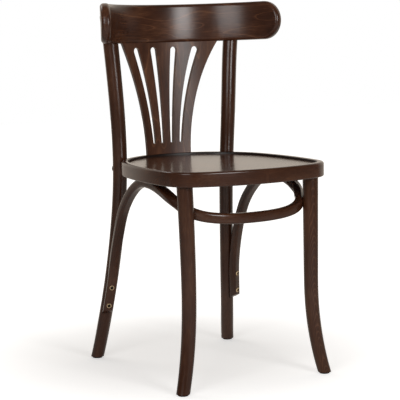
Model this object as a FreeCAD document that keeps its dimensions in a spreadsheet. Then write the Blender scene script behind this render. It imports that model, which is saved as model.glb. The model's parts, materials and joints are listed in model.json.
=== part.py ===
import FreeCAD, Part
import math
import os
import Sketcher
from FreeCAD import Placement, Rotation, Vector

# Bentwood dining chair, millimetres.
# Z is up with the floor at 0, the sitter faces -Y and X = 0 is the mirror plane.

doc = FreeCAD.newDocument("BentwoodChair")
sheet = doc.addObject("Spreadsheet::Sheet", "Sizes")

SIZES = [
    ("seat_top", 466.5, "seat ring top above the floor"),
    ("ring_height", 31.5, "seat ring height"),
    ("ring_width", 40, "seat ring width"),
    ("rim_width", 15, "part of the ring that shows round the panel"),
    ("rim_step", 5, "panel surface below the rim"),
    ("rim_round", 5, "rounding of the outer top edge"),
    ("rim_break", 2, "rounding of the other ring edges"),
    ("panel_thick", 9, "plywood seat panel"),
    ("back_y", 197.2, "rearmost point of the seat ring"),
    ("back_radius", 186, "back bend of the seat ring"),
    ("back_turn", 78, "half angle of the back bend, degrees"),
    ("side_radius", 650, "gentle bend of each side"),
    ("side_turn", 18, "angle of each side, degrees"),
    ("corner_radius", 73, "bend of each front corner"),
    ("corner_turn", 65, "angle of each front corner, degrees"),
    ("front_leg_height", 435, "floor to the underside of the ring"),
    ("front_leg_x", 152.3, "half distance of the front legs at the knee"),
    ("front_leg_y", -175.4, "front legs at the knee"),
    ("front_knee", 215, "height where the front leg starts to splay"),
    ("front_foot_out", 26, "sideways splay of the front foot"),
    ("front_foot_ahead", 13.3, "forward splay of the front foot"),
    ("front_top_out", 3.3, "outward lean of the front leg top"),
    ("front_top_ahead", 4.7, "forward lean of the front leg top"),
    ("front_foot_radius", 14.6, "front foot radius"),
    ("front_top_radius", 17, "front leg radius at the ring"),
    ("tenon_radius", 9, "front leg tenon"),
    ("tenon_length", 16, "front leg tenon"),
    ("rear_leg_height", 781, "floor to the top of the back post"),
    ("rear_leg_x", 139.2, "half distance of the back posts at the waist"),
    ("rear_waist", 430, "height where the back posts are closest"),
    ("rear_foot_out", 36.3, "sideways splay of the rear foot"),
    ("rear_top_out", 20.3, "sideways flare of the post top"),
    ("rear_leg_y", 153.2, "back posts at their foremost point"),
    ("rear_fore", 545, "height of that foremost point"),
    ("rear_foot_back", 71.5, "rearward sweep of the rear foot"),
    ("rear_top_back", 7.5, "rearward lean of the post top"),
    ("rear_foot_radius", 14.8, "rear foot radius"),
    ("rear_top_radius", 17.3, "back post radius at the top"),
    ("post_top_round", 6, "rounding of the post top"),
    ("crest_radius", 228.5, "bend of the crest rail, mid thickness"),
    ("crest_thick", 21, "crest rail thickness"),
    ("crest_height", 87, "crest rail height"),
    ("crest_half_angle", 62.6, "bend angle from the middle to the end rounding"),
    ("crest_mid_y", 205.9, "crest rail middle, mid thickness"),
    ("crest_bottom", 720.5, "crest rail underside at its middle"),
    ("crest_lean", 2.2, "backward lean of the crest rail, degrees"),
    ("crest_round", 8, "rounding of the crest rail edges"),
    ("splat_thick", 8, "moulded plywood splat"),
    ("splat_radius", 228, "bend of the splat, mid thickness"),
    ("splat_mid_y", 189.2, "splat middle at the seat, mid thickness"),
    ("splat_lean", 3.35, "backward lean of the splat, degrees"),
    ("splat_foot_half", 56.8, "half width of the splat at the seat"),
    ("splat_head_half", 128.5, "half width of the splat in the crest rail"),
    ("splat_side_radius", 548, "hollow of each splat side"),
    ("splat_tenon", 12, "splat let into the ring and the crest rail"),
    ("slot_foot_z", 493.5, "centre of the slot bottoms"),
    ("slot_head_z", 703.5, "centre of the slot tops"),
    ("slot_foot_radius", 3.3, "slot bottom rounding"),
    ("slot_head_radius", 7.9, "slot top rounding"),
    ("slot_inner_foot", 12, "inner slot from the middle, at the bottom"),
    ("slot_inner_head", 26.2, "inner slot from the middle, at the top"),
    ("slot_inner_bow", 2.6, "hollow of the inner slot"),
    ("slot_outer_foot", 34.6, "outer slot from the middle, at the bottom"),
    ("slot_outer_head", 76, "outer slot from the middle, at the top"),
    ("slot_outer_bow", 7.2, "hollow of the outer slot"),
    ("hoop_wide", 22.5, "stretcher hoop width"),
    ("hoop_thick", 19, "stretcher hoop thickness"),
    ("hoop_corner", 6, "stretcher hoop edge rounding"),
    ("bolt_height", 443, "seat bolts above the floor"),
    ("bolt_radius", 3, "M6 coach bolt"),
    ("bolt_head_radius", 8.2, "coach bolt head"),
    ("bolt_head_rise", 3.6, "coach bolt head"),
    ("washer_radius", 8, "washer under the bolt nut"),
    ("washer_thick", 1.6, "washer under the bolt nut"),
    ("nut_flats", 10, "M6 nut across flats"),
    ("nut_thick", 5, "M6 nut"),
    ("bolt_tail", 4, "bolt end past its nut"),
    ("spot_face_deep", 0.9, "flat for the bolt head in the round post"),
    ("screw_radius", 2.2, "wood screw shank"),
    ("screw_length", 34, "wood screws of the stretcher"),
    ("crest_screw_length", 30, "wood screws of the crest rail"),
    ("screw_head_radius", 3.7, "wood screw head"),
    ("screw_head_deep", 2.4, "wood screw head countersink"),
    ("cup_radius", 5.4, "brass cup washer"),
    ("cup_rise", 1.9, "brass cup washer"),
    ("upper_screw_z", 173.6, "upper stretcher screw on each rear leg"),
    ("lower_screw_z", 131.5, "lower stretcher screw on each rear leg"),
    ("upper_crest_screw_z", 770, "upper crest rail screw on each post"),
    ("lower_crest_screw_z", 741, "lower crest rail screw on each post"),
    ("glide_radius", 11.5, "nail-on glide"),
    ("glide_nail_radius", 1.3, "nail of the glide"),
    ("glide_nail_length", 14, "nail of the glide"),
    ("rear_seat_gap", 23.4, "leg centre to stretcher centre at the rear legs"),
    ("front_seat_gap", 25, "leg centre to stretcher centre at the front legs"),
    ("glide_thick", 3.5, "nail-on glide"),
]
for row, (alias, value, note) in enumerate(SIZES, start=1):
    sheet.set(f"A{row}", note)
    sheet.set(f"B{row}", str(value))
    sheet.setAlias(f"B{row}", alias)
doc.recompute()


def size(text):
    """Value of a sheet alias, or of an expression of aliases."""
    return float(sheet.evalExpression(text))


def origin_plane(body, role):
    for feature in body.Origin.OriginFeatures:
        if feature.Role == role:
            return feature


def new_sketch(body, name, role):
    sketch = body.newObject("Sketcher::SketchObject", name)
    sketch.AttachmentSupport = (origin_plane(body, role), [""])
    sketch.MapMode = "FlatFace"
    return sketch


def bind(item, **expressions):
    """Bind properties to sheet expressions; a double underscore stands for a dot."""
    for name, text in expressions.items():
        item.setExpression(name.replace("__", "."), text)


def bind_constraint(sketch, constraint, text):
    index = sketch.addConstraint(constraint)
    sketch.setExpression(f"Constraints[{index}]", text)


def cut(label, base, tools):
    """Base solid with the tool solids taken away."""
    result = doc.addObject("Part::Cut", label)
    result.Base = base
    if len(tools) == 1:
        result.Tool = tools[0]
    else:
        joined = doc.addObject("Part::Compound", label + "_tools")
        joined.Links = tools
        result.Tool = joined
    return result


def cut_in_turn(label, base, tools):
    """The same, one tool after the other, for a long spline surface that many tools meet."""
    for step, tool in enumerate(tools, start=1):
        last = step == len(tools)
        base = cut(label if last else f"{label}_cut_{step}", base, [tool])
    return base


# Legs: round bent rods, lofted through circles

def circle_station(body, name, x, y, height, radius):
    """A circle in a level plane; all four arguments are sheet expressions."""
    sketch = new_sketch(body, name, "XY_Plane")
    bind(sketch, AttachmentOffset__Base__x=x, AttachmentOffset__Base__y=y,
         AttachmentOffset__Base__z=height)
    sketch.addGeometry(Part.Circle(Vector(0, 0, 0), Vector(0, 0, 1), size(radius)))
    sketch.addConstraint(Sketcher.Constraint("Coincident", 0, 3, -1, 1))
    bind_constraint(sketch, Sketcher.Constraint("Radius", 0, size(radius)), radius)
    return sketch


def front_leg_centre(side, height):
    below = f"max(0; 1 - ({height}) / Sizes.front_knee)"
    above = f"max(0; (({height}) - Sizes.front_knee) / (Sizes.front_leg_height - Sizes.front_knee))"
    out = f"Sizes.front_foot_out * pow({below}; 2.2) + Sizes.front_top_out * pow({above}; 1.6)"
    ahead = f"Sizes.front_foot_ahead * pow({below}; 2) + Sizes.front_top_ahead * pow({above}; 1.6)"
    return f"{side} * (Sizes.front_leg_x + {out})", f"Sizes.front_leg_y - {ahead}"


def rear_leg_centre(side, height):
    below_x = f"max(0; 1 - ({height}) / Sizes.rear_waist)"
    above_x = f"max(0; (({height}) - Sizes.rear_waist) / (Sizes.rear_leg_height - Sizes.rear_waist))"
    below_y = f"max(0; 1 - ({height}) / Sizes.rear_fore)"
    above_y = f"max(0; (({height}) - Sizes.rear_fore) / (Sizes.rear_leg_height - Sizes.rear_fore))"
    out = f"Sizes.rear_foot_out * pow({below_x}; 1.65) + Sizes.rear_top_out * pow({above_x}; 1.5)"
    back = f"Sizes.rear_foot_back * pow({below_y}; 1.85) + Sizes.rear_top_back * pow({above_y}; 1.4)"
    return f"{side} * (Sizes.rear_leg_x + {out})", f"Sizes.rear_leg_y + {back}"


def leg_blank(name, kind, side, centre, stations):
    body = doc.addObject("PartDesign::Body", name)
    base = "Sizes.glide_thick"
    full = f"Sizes.{kind}_leg_height"
    sketches = []
    for step in range(stations):
        share = step / (stations - 1)
        height = f"{base} + ({full} - {base}) * {share:.4f}"
        x, y = centre(side, height)
        radius = f"Sizes.{kind}_foot_radius + (Sizes.{kind}_top_radius - Sizes.{kind}_foot_radius) * {share:.4f}"
        sketches.append(circle_station(body, f"{name}_station_{step}", x, y, height, radius))
    doc.recompute()
    loft = body.newObject("PartDesign::AdditiveLoft", name + "_rod")
    loft.Profile = sketches[0]
    loft.Sections = sketches[1:]
    doc.recompute()
    return body


def round_edges(body, name, edges, radius):
    previous = body.Tip
    fillet = body.newObject("PartDesign::Fillet", name)
    fillet.Base = (previous, list(edges))
    bind(fillet, Radius=radius)
    doc.recompute()


def highest_edges(shape):
    """Names of the level edges at the very top of a shape."""
    top = shape.BoundBox.ZMax
    for index, edge in enumerate(shape.Edges, 1):
        points = edge.discretize(5)
        if min(point.z for point in points) > top - 0.01:
            yield f"Edge{index}"


def front_leg_blank(side, name):
    body = leg_blank(name, "front", side, front_leg_centre, 9)
    x, y = front_leg_centre(side, "Sizes.front_leg_height")
    tenon_sketch = circle_station(body, name + "_tenon_circle", x, y,
                                  "Sizes.front_leg_height", "Sizes.tenon_radius")
    doc.recompute()
    tenon = body.newObject("PartDesign::Pad", name + "_tenon")
    tenon.Profile = tenon_sketch
    bind(tenon, Length="Sizes.tenon_length")
    doc.recompute()
    return body


def rear_leg_blank(side, name):
    body = leg_blank(name, "rear", side, rear_leg_centre, 11)
    x, y = rear_leg_centre(side, "Sizes.rear_leg_height")
    sketch = circle_station(body, name + "_top_circle", x, y, "Sizes.rear_leg_height", "Sizes.rear_top_radius")
    doc.recompute()
    dome = body.newObject("PartDesign::Pad", name + "_top")
    dome.Profile = sketch
    bind(dome, Length="Sizes.post_top_round + 1")
    doc.recompute()
    round_edges(body, name + "_dome", highest_edges(body.Shape), "Sizes.post_top_round")
    return body


# Seat ring: bent rim with a ledge for the panel

def outline_arcs(inset):
    """Centre, radius and angles of the arcs of the seat outline, clockwise from the back."""
    turns = [size("back_turn"), size("side_turn"), size("corner_turn")]
    radii = [size("back_radius"), size("side_radius"), size("corner_radius")]
    heading = 0.0
    point = Vector(0, size("back_y"), 0)
    right = []
    for radius, turn in zip(radii, turns):
        centre = point - Vector(math.sin(heading), math.cos(heading), 0) * radius
        start = heading
        heading += math.radians(turn)
        point = centre + Vector(math.sin(heading), math.cos(heading), 0) * radius
        right.append((centre, radius, start, heading))
    front_radius = point.x / math.sin(heading)
    front_centre = point - Vector(math.sin(heading), math.cos(heading), 0) * front_radius
    back = right[0]
    arcs = [(back[0], back[1], -back[3], back[3])]
    arcs += right[1:]
    arcs.append((front_centre, front_radius, right[-1][3], 2 * math.pi - right[-1][3]))
    for centre, radius, start, end in reversed(right[1:]):
        arcs.append((Vector(-centre.x, centre.y, 0), radius, -end, -start))
    return [(centre, radius - inset, start, end) for centre, radius, start, end in arcs]


RADIUS_TEXT = ["Sizes.back_radius", "Sizes.side_radius", "Sizes.corner_radius", None,
               "Sizes.corner_radius", "Sizes.side_radius"]


def outline_sketch(body, name, inset, height):
    """The seat outline drawn inwards by an expression, in a level plane."""
    sketch = new_sketch(body, name, "XY_Plane")
    bind(sketch, AttachmentOffset__Base__z=height)
    arcs = outline_arcs(size(inset))
    for centre, radius, start, end in arcs:
        circle = Part.Circle(centre, Vector(0, 0, 1), radius)
        low = math.pi / 2 - end
        sketch.addGeometry(Part.ArcOfCircle(circle, low, low + (end - start)))
    for index, text in enumerate(RADIUS_TEXT):
        following = (index + 1) % len(arcs)
        sketch.addConstraint(Sketcher.Constraint("Coincident", index, 1, following, 2))
        if text:
            radius = Sketcher.Constraint("Radius", index, arcs[index][1])
            bind_constraint(sketch, radius, f"{text} - ({inset})")
    return sketch


def level_edges(shape, height, outer):
    """Edges of the outer or the inner loop of a level face at a height."""
    for face in shape.Faces:
        box = face.BoundBox
        if box.ZLength < 0.01 and abs(box.ZMin - height) < 0.01:
            wires = sorted(face.Wires, key=lambda wire: wire.BoundBox.DiagonalLength)
            wanted = wires[-1] if outer else wires[0]
            for index, edge in enumerate(shape.Edges, 1):
                if any(edge.isSame(other) for other in wanted.Edges):
                    yield f"Edge{index}"


def make_ring_blank():
    body = doc.addObject("PartDesign::Body", "ring_blank")
    underside = "Sizes.seat_top - Sizes.ring_height"
    outside = outline_sketch(body, "ring_outside", "0", underside)
    doc.recompute()
    slab = body.newObject("PartDesign::Pad", "ring_slab")
    slab.Profile = outside
    bind(slab, Length="Sizes.ring_height")
    inside = outline_sketch(body, "ring_inside", "Sizes.ring_width", "Sizes.seat_top")
    doc.recompute()
    hole = body.newObject("PartDesign::Pocket", "ring_hole")
    hole.Profile = inside
    bind(hole, Length="Sizes.ring_height")
    ledge_line = outline_sketch(body, "ring_ledge_line", "Sizes.rim_width", "Sizes.seat_top")
    doc.recompute()
    ledge = body.newObject("PartDesign::Pocket", "ring_ledge")
    ledge.Profile = ledge_line
    bind(ledge, Length="Sizes.rim_step + Sizes.panel_thick")
    doc.recompute()
    top = size("seat_top")
    round_edges(body, "ring_round", level_edges(body.Shape, top, True), "Sizes.rim_round")
    round_edges(body, "ring_step_break", level_edges(body.Shape, top, False), "Sizes.rim_break")
    bottom = top - size("ring_height")
    round_edges(body, "ring_foot_break", level_edges(body.Shape, bottom, True), "Sizes.rim_break * 1.5")
    return body


def make_seat_panel():
    body = doc.addObject("PartDesign::Body", "seat_panel")
    outline = outline_sketch(body, "panel_outline", "Sizes.rim_width",
                             "Sizes.seat_top - Sizes.rim_step - Sizes.panel_thick")
    doc.recompute()
    sheet_pad = body.newObject("PartDesign::Pad", "panel_board")
    sheet_pad.Profile = outline
    bind(sheet_pad, Length="Sizes.panel_thick")
    doc.recompute()
    return body


# Crest rail: steam-bent band with round ends

def leaned_frame(mid_y, radius, bottom, lean):
    """Frame on the bend axis of a curved back piece whose middle stands at mid_y and bottom."""
    angle = size(lean)
    back = Vector(0, math.cos(math.radians(angle)), -math.sin(math.radians(angle)))
    middle = Vector(0, size(mid_y), size(bottom))
    return Placement(middle - back * size(radius), Rotation(Vector(1, 0, 0), -angle))


def cylinder(name, radius, height, **others):
    item = doc.addObject("Part::Cylinder", name)
    bind(item, Radius=radius, Height=height, **others)
    return item


def make_crest_blank():
    outside = "Sizes.crest_radius + Sizes.crest_thick / 2"
    inside = "Sizes.crest_radius - Sizes.crest_thick / 2"
    tall = "Sizes.crest_height"
    band_outer = cylinder("crest_band_outer", outside, tall, Angle="2 * Sizes.crest_half_angle")
    bind(band_outer, Placement__Rotation__Angle="90 - Sizes.crest_half_angle")
    band_inner = cylinder("crest_band_inner", inside, tall)
    band = cut("crest_band", band_outer, [band_inner])
    full = cut("crest_full", cylinder("crest_full_outer", outside, tall),
               [cylinder("crest_full_inner", inside, tall)])
    ends = []
    for word, side in SIDES.items():
        disc = cylinder(f"crest_end_{word}", "Sizes.crest_height / 2", "3 * Sizes.crest_thick")
        angle = size("crest_half_angle") * side
        radial = Vector(math.sin(math.radians(angle)), math.cos(math.radians(angle)), 0)
        start = radial * (size("crest_radius") - 1.5 * size("crest_thick"))
        start.z = size("crest_height") / 2
        disc.Placement = Placement(start, Rotation(Vector(0, 0, 1), radial))
        end = doc.addObject("Part::Common", f"crest_cap_{word}")
        end.Base = full
        end.Tool = disc
        ends.append(end)
    joined = doc.addObject("Part::MultiFuse", "crest_joined")
    joined.Shapes = [band] + ends
    joined.Refine = True
    doc.recompute()
    joined.Placement = leaned_frame("crest_mid_y", "crest_radius", "crest_bottom", "crest_lean")
    doc.recompute()
    return joined


def bend_edges(shape, axis_base, axis, radii):
    """Indices of the edges that lie on cylinders of the given radii round an axis."""
    found = []
    for index, edge in enumerate(shape.Edges, 1):
        points = edge.discretize(5)
        distances = [(point - axis_base).cross(axis).Length for point in points]
        for radius in radii:
            if max(abs(distance - radius) for distance in distances) < 0.05:
                found.append(index)
    return found


def make_crest_rounded(blank):
    axis = blank.Placement.Rotation.multVec(Vector(0, 0, 1))
    half = size("crest_thick / 2")
    radii = [size("crest_radius") - half, size("crest_radius") + half]
    fillet = doc.addObject("Part::Fillet", "crest_rounded")
    fillet.Base = blank
    radius = size("crest_round")
    chosen = bend_edges(blank.Shape, blank.Placement.Base, axis, radii)
    fillet.Edges = [(index, radius, radius) for index in chosen]
    doc.recompute()
    return fillet


# Splat: moulded plywood fan with four tapered slots

def make_fan():
    body = doc.addObject("PartDesign::Body", "fan_board")
    sketch = new_sketch(body, "fan_outline", "XZ_Plane")
    foot_x = size("splat_foot_half")
    foot_z = size("seat_top - splat_tenon")
    head_x = size("splat_head_half")
    head_z = size("crest_bottom + splat_tenon")
    corners = [Vector(-foot_x, foot_z, 0), Vector(foot_x, foot_z, 0),
               Vector(head_x, head_z, 0), Vector(-head_x, head_z, 0)]
    chord = corners[2] - corners[1]
    side_radius = size("splat_side_radius")
    hollow = side_radius - math.sqrt(side_radius ** 2 - (chord.Length / 2) ** 2)
    inward = Vector(-chord.y, chord.x, 0).normalize() * hollow
    middle = (corners[1] + corners[2]) * 0.5 + inward
    mirrored = Vector(-middle.x, middle.y, 0)
    sketch.addGeometry(Part.LineSegment(corners[0], corners[1]))
    sketch.addGeometry(Part.Arc(corners[1], middle, corners[2]))
    sketch.addGeometry(Part.LineSegment(corners[2], corners[3]))
    sketch.addGeometry(Part.Arc(corners[3], mirrored, corners[0]))
    bind_constraint(sketch, Sketcher.Constraint("DistanceX", 0, 1, 0, 2, 2 * foot_x),
                    "2 * Sizes.splat_foot_half")
    bind_constraint(sketch, Sketcher.Constraint("DistanceY", -1, 1, 0, 1, foot_z),
                    "Sizes.seat_top - Sizes.splat_tenon")
    sketch.addConstraint(Sketcher.Constraint("Symmetric", 0, 1, 0, 2, -2))
    doc.recompute()
    board = body.newObject("PartDesign::Pad", "fan_board_pad")
    board.Profile = sketch
    board.SideType = "Symmetric"
    bind(board, Length="2 * Sizes.back_y + 100")
    doc.recompute()
    return body


def slot_cutter(name, side, kind):
    """A tapered slot with round ends that bows towards the middle, cut along Y."""
    body = doc.addObject("PartDesign::Body", name)
    sketch = new_sketch(body, name + "_shape", "XZ_Plane")
    low_radius = size("slot_foot_radius")
    high_radius = size("slot_head_radius")
    bow = size(f"slot_{kind}_bow")
    rise = size("slot_head_z - slot_foot_z")
    run = size(f"slot_{kind}_head - slot_{kind}_foot")
    length = math.hypot(rise, run)
    bend_radius = (length ** 2 / 4 + bow ** 2) / (2 * bow)
    swing = math.asin(length / 2 / bend_radius)

    def place(x, y):
        return Vector(side * x, y, 0)

    low_right = place(low_radius * math.cos(swing), low_radius * math.sin(swing))
    low_left = low_right * -1
    low_tip = place(low_radius * math.sin(swing), -low_radius * math.cos(swing))
    high = place(0, length)
    high_right = high + place(high_radius * math.cos(swing), -high_radius * math.sin(swing))
    high_left = high * 2 - high_right
    high_tip = high + place(high_radius * math.sin(swing), high_radius * math.cos(swing))
    middle_half = (low_radius + high_radius) / 2
    sketch.addGeometry(Part.Arc(low_left, low_tip, low_right))
    sketch.addGeometry(Part.Arc(low_right, place(middle_half - bow, length / 2), high_right))
    sketch.addGeometry(Part.Arc(high_right, high_tip, high_left))
    sketch.addGeometry(Part.Arc(high_left, place(-middle_half - bow, length / 2), low_left))
    bind_constraint(sketch, Sketcher.Constraint("Radius", 0, low_radius), "Sizes.slot_foot_radius")
    bind_constraint(sketch, Sketcher.Constraint("Radius", 2, high_radius), "Sizes.slot_head_radius")
    doc.recompute()
    pad = body.newObject("PartDesign::Pad", name + "_pad")
    pad.Profile = sketch
    pad.SideType = "Symmetric"
    bind(pad, Length="2 * Sizes.back_y + 120")
    lean = math.degrees(math.atan2(run * side, rise))
    start = Vector(size(f"slot_{kind}_foot") * side, 0, size("slot_foot_z"))
    body.Placement = Placement(start, Rotation(Vector(0, 1, 0), lean))
    doc.recompute()
    return body


def make_splat():
    slots = []
    for word, side in SIDES.items():
        slots.append(slot_cutter(f"inner_slot_{word}", side, "inner"))
        slots.append(slot_cutter(f"outer_slot_{word}", side, "outer"))
    fan = cut("fan", make_fan(), slots)
    tall = "Sizes.crest_bottom - Sizes.seat_top + 120"
    outer = cylinder("splat_outer", "Sizes.splat_radius + Sizes.splat_thick / 2", tall, Angle="100")
    bind(outer, Placement__Rotation__Angle="40")
    inner = cylinder("splat_inner", "Sizes.splat_radius - Sizes.splat_thick / 2", tall)
    shell = cut("splat_shell", outer, [inner])
    frame = leaned_frame("splat_mid_y", "splat_radius", "seat_top", "splat_lean")
    down = frame.Rotation.multVec(Vector(0, 0, -50))
    shell.Placement = Placement(frame.Base + down, frame.Rotation)
    doc.recompute()
    splat = doc.addObject("Part::Common", "splat_whole")
    splat.Base = fan
    splat.Tool = shell
    doc.recompute()
    return splat


# Stretcher: one rod bent in two planes, from rear leg to rear leg

REAR_FACING = Vector(-0.35, 0.94, 0)
FRONT_FACING = Vector(0.8, -0.6, 0)
FREE_STATIONS = [
    ("lift off", Vector(159.3, 154.5, 234), Vector(-0.3, 1, 0.2)),
    ("rise", Vector(158.0, 134.6, 296), Vector(-0.2, 1, 0.5)),
    ("shoulder", Vector(158.5, 107.0, 352), Vector(0, 1, 1)),
    ("arch", Vector(160.0, 64.0, 396.5), Vector(0, 0.4, 1)),
    ("under the ring", Vector(160.5, 11.0, 424.5), Vector(0, 0.1, 1)),
    ("under the ring", Vector(160.0, -47.0, 424.5), Vector(0, -0.1, 1)),
    ("fall", Vector(157.0, -113.0, 404), Vector(0.3, -0.6, 1)),
]
FRONT_STATIONS = [
    ("front bend", Vector(72.0, -184.5, 362.5), Vector(0.1, -1, 0)),
]
HOOP_MIDDLE = ("front middle", Vector(0, -186, 359.3), Vector(0, -1, 0))
REAR_SEAT_HEIGHTS = (112, 152, 192)
FRONT_SEAT_HEIGHT = 377


def beside_leg(centre, height, facing, gap):
    """Point beside the left leg, on the side that the facing direction comes from."""
    x, y = centre(1, str(height))
    return Vector(size(x), size(y), height) - Vector(facing).normalize() * size(gap)


def hoop_stations():
    rear = [("rear seat", beside_leg(rear_leg_centre, height, REAR_FACING, "rear_seat_gap"), REAR_FACING)
            for height in REAR_SEAT_HEIGHTS]
    front = ("front seat", beside_leg(front_leg_centre, FRONT_SEAT_HEIGHT, FRONT_FACING, "front_seat_gap"),
             FRONT_FACING)
    return rear + FREE_STATIONS + [front] + FRONT_STATIONS


def mirror_x(vector):
    return Vector(-vector.x, vector.y, vector.z)


def hoop_section(point, along, facing):
    """Rounded rectangle across the rod, its thickness towards the facing direction."""
    along = Vector(along).normalize()
    thick = (facing - along * facing.dot(along)).normalize()
    wide = along.cross(thick).normalize()
    half_t = size("hoop_thick / 2")
    half_w = size("hoop_wide / 2")
    corner = size("hoop_corner")
    diagonal = corner * (1 - math.sqrt(0.5))

    def at(t, w):
        return point + thick * t + wide * w

    edges = []
    for t_sign, w_sign, turning in ((1, 1, True), (-1, 1, False), (-1, -1, True), (1, -1, False)):
        flat_t = at(t_sign * half_t, w_sign * (half_w - corner))
        flat_w = at(t_sign * (half_t - corner), w_sign * half_w)
        middle = at(t_sign * (half_t - diagonal), w_sign * (half_w - diagonal))
        ends = (flat_t, flat_w) if turning else (flat_w, flat_t)
        edges.append(Part.Arc(ends[0], middle, ends[1]).toShape())
    closed = []
    for edge, following in zip(edges, edges[1:] + edges[:1]):
        closed.append(edge)
        start = edge.valueAt(edge.LastParameter)
        finish = following.valueAt(following.FirstParameter)
        closed.append(Part.LineSegment(start, finish).toShape())
    return Part.Wire(closed)


def make_hoop_blank():
    half = [(point, Vector(facing)) for _, point, facing in hoop_stations()]
    middle = [(HOOP_MIDDLE[1], HOOP_MIDDLE[2])]
    other = [(mirror_x(point), mirror_x(facing)) for point, facing in reversed(half)]
    stations = half + middle + other
    centre = Part.BSplineCurve()
    centre.interpolate([point for point, _ in stations])
    sections = []
    parameters = [centre.parameter(point) for point, _ in stations]
    for index, (point, facing) in enumerate(stations):
        sections.append(hoop_section(point, centre.tangent(parameters[index])[0], facing))
        if index + 1 < len(stations):
            between = (parameters[index] + parameters[index + 1]) / 2
            turned = Vector(facing).normalize() + Vector(stations[index + 1][1]).normalize()
            sections.append(hoop_section(centre.value(between), centre.tangent(between)[0], turned))
    hoop = doc.addObject("Part::Feature", "hoop_blank")
    hoop.Shape = Part.makeLoft(sections, True, False)
    return hoop


# Fasteners: turned about their own Z axis, which points into the wood

def turned_body(name, outline):
    """Body revolved from a closed outline of (radius, height) points about Z."""
    body = doc.addObject("PartDesign::Body", name)
    sketch = new_sketch(body, name + "_outline", "XZ_Plane")
    points = [Vector(radius, height, 0) for radius, height in outline]
    for start, finish in zip(points, points[1:] + points[:1]):
        sketch.addGeometry(Part.LineSegment(start, finish))
    doc.recompute()
    turn = body.newObject("PartDesign::Revolution", name + "_turned")
    turn.Profile = sketch
    turn.ReferenceAxis = (sketch, ["V_Axis"])
    turn.Angle = 360
    doc.recompute()
    return body


def cross_recess(body, name, depth, start):
    """Cross slot in a screw head whose face is at a height along Z."""
    long_half = size("screw_head_radius") * 0.55
    short_half = size("screw_head_radius") * 0.16
    sketch = new_sketch(body, name + "_cross", "XY_Plane")
    sketch.AttachmentOffset = Placement(Vector(0, 0, start), Rotation())
    quarter = [(long_half, short_half), (short_half, short_half), (short_half, long_half)]
    points = []
    for turn in range(4):
        spin = Rotation(Vector(0, 0, 1), 90 * turn)
        points += [spin.multVec(Vector(x, y, 0)) for x, y in quarter]
    for begin, finish in zip(points, points[1:] + points[:1]):
        sketch.addGeometry(Part.LineSegment(begin, finish))
    doc.recompute()
    pocket = body.newObject("PartDesign::Pocket", name + "_recess")
    pocket.Profile = sketch
    pocket.Length = depth
    pocket.Reversed = True
    doc.recompute()


CUP_LIP = 0.1


def wood_screw(name, length, start, direction, under_cup=False):
    """Countersunk screw and the bore that it sits in, aimed from its head along a direction."""
    shank = size("screw_radius")
    head = size("screw_head_radius")
    deep = size("screw_head_deep")
    tip = size("screw_radius") * 2
    tapered = [(head, 0), (shank, deep), (shank, length - tip), (0, length)]
    screw = turned_body(name, [(0, 0)] + tapered)
    cross_recess(screw, name, 1.4, 0)
    if under_cup:
        seat = size("cup_rise") - CUP_LIP
        mouth = [(0, -3), (size("cup_radius"), -3), (size("cup_radius"), seat), (cup_throat(), seat)]
    else:
        mouth = [(0, -3), (head, -3), (head, 0)]
    bore = turned_body(name + "_bore", mouth + tapered[1:])
    return aim(screw, start, direction), aim(bore, start, direction)


def cup_throat():
    """Radius of the screw's cone where it leaves the cup washer."""
    slope = (size("screw_head_radius") - size("screw_radius")) / size("screw_head_deep")
    return size("screw_head_radius") - slope * (size("cup_rise") - CUP_LIP)


def cup_washer(name):
    """Raised cup round a countersunk screw head, its mouth at Z = 0 and its rim on the wood."""
    head = size("screw_head_radius")
    rim = size("cup_radius")
    rise = size("cup_rise")
    return turned_body(name, [(head, CUP_LIP), (head + 0.5, 0), (rim - 0.8, rise - 1.0),
                              (rim, rise - 0.3), (rim, rise), (cup_throat(), rise)])


def coach_bolt(name, length):
    """Domed head above Z = 0, shank below it along +Z."""
    head = size("bolt_head_radius")
    rise = size("bolt_head_rise")
    shank = size("bolt_radius")
    dome = (head ** 2 + rise ** 2) / (2 * rise)
    steps = 6
    reach = math.asin(head / dome)
    crown = []
    for step in range(steps + 1):
        angle = reach * (1 - step / steps)
        crown.append((dome * math.sin(angle), dome - rise - dome * math.cos(angle)))
    crown[-1] = (0, -rise)
    return turned_body(name, crown + [(0, length), (shank - 0.6, length), (shank, length - 0.6), (shank, 0)])


def hex_nut(name):
    body = doc.addObject("PartDesign::Body", name)
    sketch = new_sketch(body, name + "_outline", "XY_Plane")
    corner = size("nut_flats / 2") / math.cos(math.radians(30))
    points = [Vector(corner * math.cos(math.radians(60 * step)), corner * math.sin(math.radians(60 * step)), 0)
              for step in range(6)]
    for start, finish in zip(points, points[1:] + points[:1]):
        sketch.addGeometry(Part.LineSegment(start, finish))
    sketch.addGeometry(Part.Circle(Vector(0, 0, 0), Vector(0, 0, 1), size("bolt_radius")))
    bind_constraint(sketch, Sketcher.Constraint("Radius", 6, size("bolt_radius")), "Sizes.bolt_radius")
    doc.recompute()
    pad = body.newObject("PartDesign::Pad", name + "_block")
    pad.Profile = sketch
    bind(pad, Length="Sizes.nut_thick")
    doc.recompute()
    return body


def flat_washer(name):
    hole = size("bolt_radius")
    rim = size("washer_radius")
    thick = size("washer_thick")
    return turned_body(name, [(hole, 0), (rim, 0), (rim, thick), (hole, thick)])


def glide(name):
    rim = size("glide_radius")
    thick = size("glide_thick")
    nail = size("glide_nail_radius")
    reach = thick + size("glide_nail_length")
    return turned_body(name, [(0, 0), (rim - 1.2, 0), (rim, 1.2), (rim, thick), (nail, thick),
                              (nail, reach - 2 * nail), (0, reach)])


def aim(body, start, direction):
    """Put a turned piece at a point with its Z axis along a direction."""
    body.Placement = Placement(start, Rotation(Vector(0, 0, 1), direction))
    return body


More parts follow.
